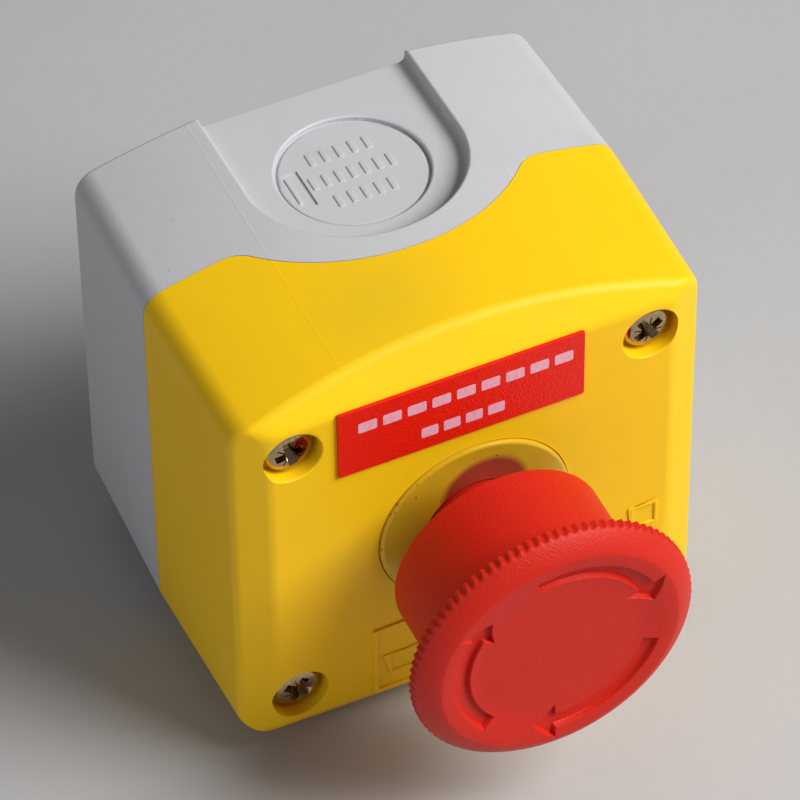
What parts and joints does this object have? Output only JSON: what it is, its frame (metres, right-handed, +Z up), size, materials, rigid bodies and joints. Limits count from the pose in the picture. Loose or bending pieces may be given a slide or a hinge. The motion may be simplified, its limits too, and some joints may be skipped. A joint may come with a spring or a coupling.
{
  "type": "emergency stop button",
  "caption": "Square surface-mounting box with a crowned top, holding a red mushroom stop button that pushes in and turns to release.",
  "frame": {"origin": "centre of the flat rear mounting face, on the button's axis", "axes": "+Z up along the wall, +X to the right as the user faces the button, +Y out of the back of the box into the wall, so the button points along -Y"},
  "size_m": [0.068, 0.0793, 0.0686],
  "materials": {
    "yellow_housing": "satin moulded yellow plastic, fine texture",
    "grey_housing": "satin moulded light grey plastic",
    "red_button": "satin signal red plastic with an eggshell grain",
    "red_stem": "smooth satin red plastic",
    "red_legend": "printed plastic film with an orange-peel grain",
    "olive_ring": "glossy olive plastic",
    "zinc_screw": "bright zinc plated",
    "black_rubber": "black nitrile rubber",
    "black_plastic": "black glass-filled plastic",
    "white_plastic": "natural acetal",
    "green_plastic": "green plastic",
    "spring_steel": "drawn spring wire",
    "contact_brass": "stamped brass"
  },
  "bodies": {
    "enclosure": {"rear_enclosure": "grey_housing", "front_cover": "yellow_housing", "cover_gasket": "black_rubber", "legend_plate": "red_legend", "bezel_ring": "olive_ring", "head_gasket": "black_rubber", "head_body": "black_plastic", "panel_nut": "black_plastic", "return_spring": "spring_steel", "contact_carrier": "black_plastic", "carrier_screw_left": "zinc_screw", "carrier_screw_right": "zinc_screw", "cover_screw_top_left": "zinc_screw", "cover_screw_top_right": "zinc_screw", "cover_screw_bottom_left": "zinc_screw", "cover_screw_bottom_right": "zinc_screw", "nc_housing": "black_plastic", "nc_side_cover": "black_plastic", "nc_spring": "spring_steel", "nc_terminal_top": "contact_brass", "nc_terminal_screw_top": "zinc_screw", "nc_clamp_top": "zinc_screw", "nc_terminal_bottom": "contact_brass", "nc_terminal_screw_bottom": "zinc_screw", "nc_clamp_bottom": "zinc_screw", "no_housing": "black_plastic", "no_side_cover": "black_plastic", "no_spring": "spring_steel", "no_terminal_top": "contact_brass", "no_terminal_screw_top": "zinc_screw", "no_clamp_top": "zinc_screw", "no_terminal_bottom": "contact_brass", "no_terminal_screw_bottom": "zinc_screw", "no_clamp_bottom": "zinc_screw"},
    "pusher": {"pusher_rod": "white_plastic", "pusher_foot": "white_plastic", "twist_spring": "spring_steel"},
    "head": {"mushroom_cap": "red_button", "plunger_stem": "red_stem"},
    "nc_slider": {"nc_plunger": "red_stem", "nc_bridge": "contact_brass"},
    "no_slider": {"no_plunger": "green_plastic"},
    "no_contact": {"no_bridge": "contact_brass"}
  },
  "joints": [
    {"name": "head_push", "type": "slide", "parent": "enclosure", "child": "pusher", "axis": [0, 1, 0], "range_m": [0, 0.005], "stiffness_N_per_m": 2000, "springref_m": -0.002, "deforming": ["return_spring"]},
    {"name": "head_twist", "type": "hinge", "parent": "pusher", "child": "head", "pos_m": [0, 0, 0], "axis": [0, 1, 0], "range_deg": [0, 45], "stiffness_Nm_per_rad": 0.15, "springref_deg": -11.46, "deforming": ["twist_spring"]},
    {"name": "nc_push", "type": "slide", "parent": "enclosure", "child": "nc_slider", "axis": [0, 1, 0], "range_m": [0, 0.005], "deforming": ["nc_spring"]},
    {"name": "no_push", "type": "slide", "parent": "enclosure", "child": "no_slider", "axis": [0, 1, 0], "range_m": [0, 0.005], "deforming": ["no_spring"]},
    {"name": "no_close", "type": "slide", "parent": "enclosure", "child": "no_contact", "axis": [0, 1, 0], "range_m": [0, 0.00335]}
  ],
  "couplings": [
    {"joint": "nc_push", "follows": "head_push", "ratio": 1},
    {"joint": "no_push", "follows": "head_push", "ratio": 1},
    {"joint": "no_close", "follows": "head_push", "ratio": 0.67}
  ]
}
